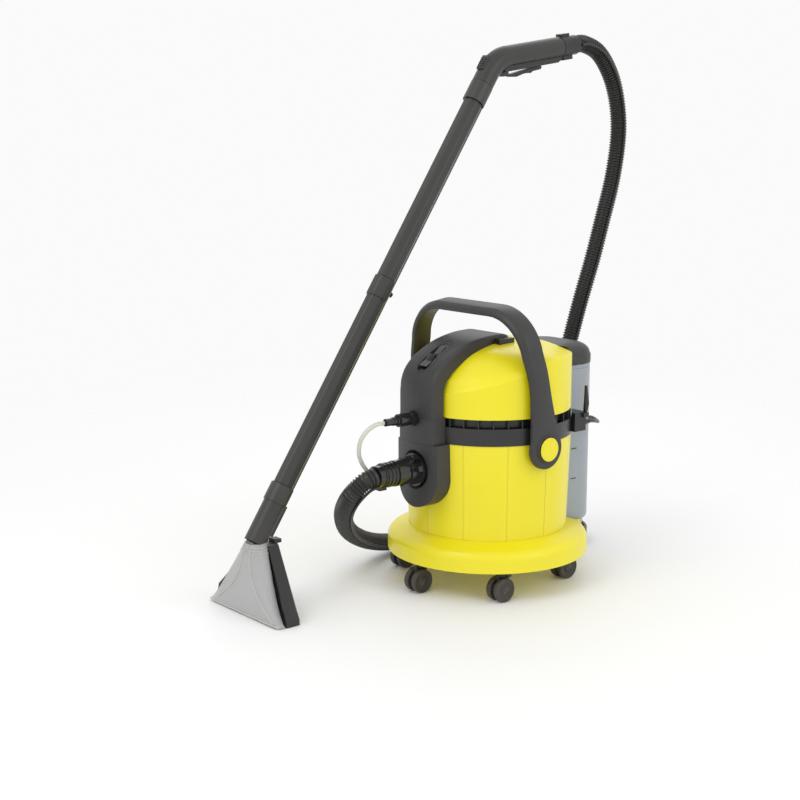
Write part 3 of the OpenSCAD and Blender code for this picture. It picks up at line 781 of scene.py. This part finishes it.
def tankRing(z, inset, frontInset=None):
    set = tankSet
    f = inset if frontInset is None else frontInset
    hw, c = set["half"] - inset, max(4.0, set["corner"] - inset)
    front, rear = set["front"] + f, set["rear"] - inset
    q = max(2.5, 9 - inset)
    ring = []
    for x, y, r, a0 in ((hw - q, front + q, q, -90), (hw - c, rear - c, c, 0), (-hw + c, rear - c, c, 90),
                        (-hw + q, front + q, q, 180)):
        for k in range(9):
            a = math.radians(a0 + 90 * k / 8)
            ring.append(Vector((x + r * math.cos(a), y + r * math.sin(a), z)) / 1000)
    return ring


def makeTank():
    set = tankSet
    b, t = set["bottom"], set["top"]
    steps = [(b, 10), (b + 0.6, 8.6), (b + 2, 8), (b + 11, 8), (b + 13, 7), (b + 16, 2.0), (b + 19, 0.5),
             (b + 22, 0.0)]
    steps += [(z, 0.0) for z in (130, 200, 270, 340, 390)]
    steps += [(t - 8, 0), (t - 7.4, 0.8), (t - 6.6, 0.8), (t - 6, 0), (t - 0.6, 0), (t, 0.6), (t, 2.4)]
    steps += [(z, set["wall"]) for z in (t - 0.6, 340, 200, b + 22)]
    steps += [(b + 18, 5), (b + 16, 10), (b + 3.4, 11), (b + 3, 13)]
    rings = [tankRing(z, inset) for z, inset in steps]
    tank = piece("waterTank", *loft(rings), "tank", "tankPlastic", "tank_plastic", sharp=40)
    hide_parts("tank_shell")
    marks = []
    for z in set["marks"]:
        place = Matrix.Translation(Vector((77.6, 157, z)) / 1000) @ Matrix.Rotation(math.radians(90), 4, "Y")
        bar = []
        for h, cut in ((0, 0), (1.0, 0), (1.5, 0.4)):
            bar.append([place @ (Vector((sx * (1.0 - cut), sy * (7 - cut), h)) / 1000)
                        for sx, sy in ((-1, -1), (1, -1), (1, 1), (-1, 1))])
        marks.append(loft(bar))
    piece("levelMarks", *gather(*marks), "tank", "cordSheath", "tank_plastic")
    z = set["lid"]
    steps = [(15, 3.2), (1, 3.2), (0, 2.4), (0, 0), (0.6, -0.8), (2, -1.0), (14, -1.0), (17, -0.6), (18, 0.8)]
    rings = [tankRing(z + up, inset) for up, inset in steps]
    for k in range(1, 9):
        a = math.pi / 2 * k / 9
        inward = 1 - math.cos(a)
        rings.append(tankRing(z + 18 + 22 * math.sin(a), 1 + 34 * inward, 1 + 24 * inward))
    rings.append(tankRing(z + 39.7, 44, 32))
    lid = piece("tankLid", *loft(rings), "lid", "charcoalPlastic", "dark_grey_plastic", sharp=34)
    low, high = Vector((-50, 109.5, z + 6)) / 1000, Vector((50, 131.5, z + 24)) / 1000
    corners = ((low.x, low.y), (high.x, low.y), (high.x, high.y), (low.x, high.y))
    box = [[Vector((x, y, h)) for x, y in corners] for h in (low.z, high.z)]
    carve(lid, plainMesh(*loft(box)))
    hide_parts("tank_lid")


# ---- casters ----
casterSet = {"circle": 160.0, "angles": (0, 60, 135, -135, -60), "trail": 16.0, "radius": 22.5}


def makeCasters():
    set = casterSet
    for i, angle in enumerate(set["angles"], 1):
        a = math.radians(angle)
        x, y = set["circle"] * math.sin(a), -set["circle"] * math.cos(a) - set["trail"]
        hub = Vector((x, y, set["radius"])) / 1000
        wheels = []
        for s in (-1, 1):
            place = Matrix.Translation(hub) @ Matrix.Rotation(math.radians(90 * s), 4, "Y")
            r = set["radius"]
            profile = [(3.1, 4.8), (r - 1.5, 4.8), (r - 0.3, 5.6), (r, 7.0), (r, 13.2), (r - 0.4, 14.6),
                       (r - 1.6, 15.3), (r - 3.0, 15.3), (r - 3.8, 14.4), (r - 6.0, 13.8), (9.5, 13.2),
                       (8.4, 14.4), (6.5, 15.1), (0, 15.3)]
            wheels.append(lathe([(p / 1000, h / 1000) for p, h in profile], place, 56))
        axle = Matrix.Translation(hub) @ Matrix.Rotation(math.radians(90), 4, "Y")
        wheels.append(lathe([(0, -0.013), (0.003, -0.013), (0.003, 0.013), (0, 0.013)], axle, 24))
        pair = piece(f"casterWheels{i}", *gather(*wheels), f"wheels_{i}", "casterPlastic", "caster_tread",
                     sharp=30)
        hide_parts(f"caster_wheels_{i}")


# ---- wand ----
wandSet = {
    "neck": (-100, -469, 140), "lean": 34.0, "joint": 100.0, "middle": 530.0, "collar": 960.0, "bend": 1022.0,
    "gripTilt": 8.5, "tube": 19.0, "flat": 17.9, "bore": 16.0,
}
wandPlace = (Matrix.Translation(Vector(wandSet["neck"]) / 1000)
             @ Matrix.Rotation(math.radians(-wandSet["lean"]), 4, "X"))
gripPlace = (wandPlace @ Matrix.Translation((0, 0, wandSet["bend"] / 1000))
             @ Matrix.Rotation(math.radians(wandSet["lean"] - 90 + wandSet["gripTilt"]), 4, "X"))


def tubeSection(grow, rail, sides=64):      # eight soft flats and a rail at the back
    set, ring = wandSet, []
    for k in range(sides):
        a = math.tau * k / sides
        near = (math.degrees(a) + 22.5) % 45 - 22.5
        r = min(set["tube"], set["flat"] / math.cos(math.radians(near))) + grow
        x, y = r * math.cos(a), r * math.sin(a)
        if rail and abs(x) < 6.2 and y > 0:
            y = set["tube"] + 3.0 + grow
        ring.append((x, y))
    return ring


def tubePiece(name, node, low, high, bell, rail=True):
    rings = []
    steps = [(low + 0.4, -0.9, False), (low + 0.6, 0, False), (low + 1.2, 0.1, False), (low + 1.6, 0, rail)]
    if bell:
        steps += [(high - bell - 0.8, 0, rail), (high - bell, 2.0, False), (high - bell + 1.5, 2.5, False),
                  (high - 1.2, 2.5, False), (high - 0.3, 1.8, False)]
    else:
        steps += [(high - 0.5, 0, rail), (high - 0.3, -0.3, False)]
    for z, grow, railed in steps:
        rings.append([wandPlace @ (Vector((x, y, z)) / 1000) for x, y in tubeSection(grow, railed)])
    r = wandSet["bore"]
    bore = [[wandPlace @ (Vector((r * math.cos(a), r * math.sin(a), z)) / 1000) for a in roundAngles(64)]
            for z in (high - 0.3, low + 0.4)]
    tube = piece(name, *loft(rings + bore, closed=True), "wand", "tubePlastic", "black_plastic", sharp=32)
    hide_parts(node)


def makeGrip():
    path, sizes = [], []
    for z in (960.4, 961.2, 975, 985):
        path.append(wandPlace @ Vector((0, 0, z / 1000)))
        sizes.append(20.9 if z < 961 else 21.5)
    a, b = wandPlace @ Vector((0, 0, 0.988)), wandPlace @ Vector((0, 0, 1.022))
    c = gripPlace @ Vector((0, 0, 0.034))
    for k in range(13):
        t = k / 12
        path.append(a * (1 - t) ** 2 + b * 2 * t * (1 - t) + c * t * t)
        sizes.append(21.5 + 0.9 * math.sin(math.pi * t) - 0.7 * t)
    for z in (40, 80, 120, 150, 172, 174.6, 175.2):
        path.append(gripPlace @ Vector((0, 0, z / 1000)))
        sizes.append(20.8 if z < 174 else 20.5 if z < 175 else 19.6)
    shell = tubeMesh(path, lambda i: sizes[i] / 1000, 56)
    grip = piece("gripShell", *shell, "wand", "tubePlastic", "black_plastic", sharp=36)
    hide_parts("grip_shell")


hoodSet = {
    "middle": -100, "lipHalf": 110.0, "neckHalf": 20.0, "front": -506.0, "back": -488.0, "neckY": -474.0,
    "height": 128.0, "wall": 2.4,
}


def hoodRing(z, inset):
    set = hoodSet
    t = max(0.0, min(1.0, (z - 3) / (set["height"] - 3)))
    half = set["lipHalf"] + (set["neckHalf"] - set["lipHalf"]) * (t ** 0.82) - inset
    front = set["front"] + (set["neckY"] - 20 - set["front"]) * t ** 0.9 + inset
    back = set["back"] + (set["neckY"] + 20 - set["back"]) * t ** 1.15 - inset
    power = 9.0 - 6.9 * t
    ring = []
    for k in range(64):
        a = math.tau * k / 64
        cx, sy = math.cos(a), math.sin(a)
        x = math.copysign(abs(cx) ** (2 / power), cx) * half
        y = (front + back) / 2 + math.copysign(abs(sy) ** (2 / power), sy) * (back - front) / 2
        ring.append(Vector((set["middle"] + x, y, z)) / 1000)
    return ring


def makeHood():
    outer = [hoodRing(z, 0) for z in (3, 5, 10, 20, 32, 46, 60, 74, 88, 100, 110, 118, 125, 130)]
    inner = [hoodRing(z, hoodSet["wall"]) for z in (130, 118, 100, 74, 46, 20, 5, 3)]
    shell = loft(outer + inner, closed=True)
    hood = piece("nozzleHood", *shell, "wand", "clearHood", "clear_plastic", sharp=34)
    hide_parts("nozzle_hood")
    # raised edges of the suction channel, curving from the neck out to the lip, and the lip's bright rim
    ridges = []
    for s in (-1, 1):
        curve = []
        for k in range(25):
            t = k / 24
            z = 126 - 118 * t
            half = 11 + 84 * t ** 2.6
            x = hoodSet["middle"] / 1000 + s * half / 1000
            ring = hoodRing(z, 0)
            middle = sum(q.y for q in ring) / len(ring)
            front = min(ring, key=lambda p: abs(p.x - x) + (10 if p.y > middle else 0))
            curve.append(Vector((x, front.y - 0.0002, z / 1000)))
        ridges.append(tubeMesh(curve, 0.0011, 8))
    piece("channelRidges", *gather(*ridges), "wand", "milkyTube", "clear_plastic")
    neckBands = []
    for z in (114, 119, 124):
        ring = hoodRing(z, -0.5)
        neckBands.append(tubeMesh(ring + [ring[0], ring[1]], 0.0007, 8, (0, 0, 1)))
    lip = hoodRing(4.5, -0.4)
    neckBands.append(tubeMesh([p for p in lip if p.y < -0.4975], 0.0014, 8, (0, 0, 1)))
    piece("hoodRims", *gather(*neckBands), "wand", "milkyTube", "clear_plastic")


makeCover()
makeStrip()
makeSymbols()
print("head done")
makeHandle()
makeTank()
makeCasters()
print("handle, tank and casters done")
tubePiece("lowerTube", "lower_tube", wandSet["joint"] + 0.3, wandSet["middle"], 40)
tubePiece("upperTube", "upper_tube", wandSet["middle"] + 0.3, wandSet["collar"] - 40, 0)
makeGrip()
makeHood()
print("wand done")


# ---- floor ----
floorSet = {"half": 4, "fadeFrom": 0.8, "fadeTo": 2.4}


def makeFloor():      # solid under the machine, fading out to the white surroundings
    finish = Finish("floorPaint", {"Specular IOR Level": 0.2})
    cloud = finish.noise(0.6, 2.0)
    finish.use("Base Color", finish.mixed(cloud, (0.88, 0.88, 0.88, 1), (0.91, 0.91, 0.91, 1)))
    finish.use("Roughness", 0.6 + cloud * 0.1)
    away = finish.node("VectorMath", {"operation": "LENGTH"}, {0: finish.node("TexCoord", out=3)}, out=1)
    fade = {"Value": away, "From Min": floorSet["fadeFrom"], "From Max": floorSet["fadeTo"], "To Min": 1.0,
            "To Max": 0.0}
    finish.use("Alpha", finish.node("MapRange", {}, fade))
    h = floorSet["half"]
    mesh = bpy.data.meshes.new("floor")
    mesh.from_pydata([(-h, -h, 0), (h, -h, 0), (h, h, 0), (-h, h, 0)], [], [(0, 1, 2, 3)])
    mesh.materials.append(finish.mat)
    floor = bpy.data.objects.new("floor", mesh)
    bpy.context.scene.collection.objects.link(floor)


makeFloor()
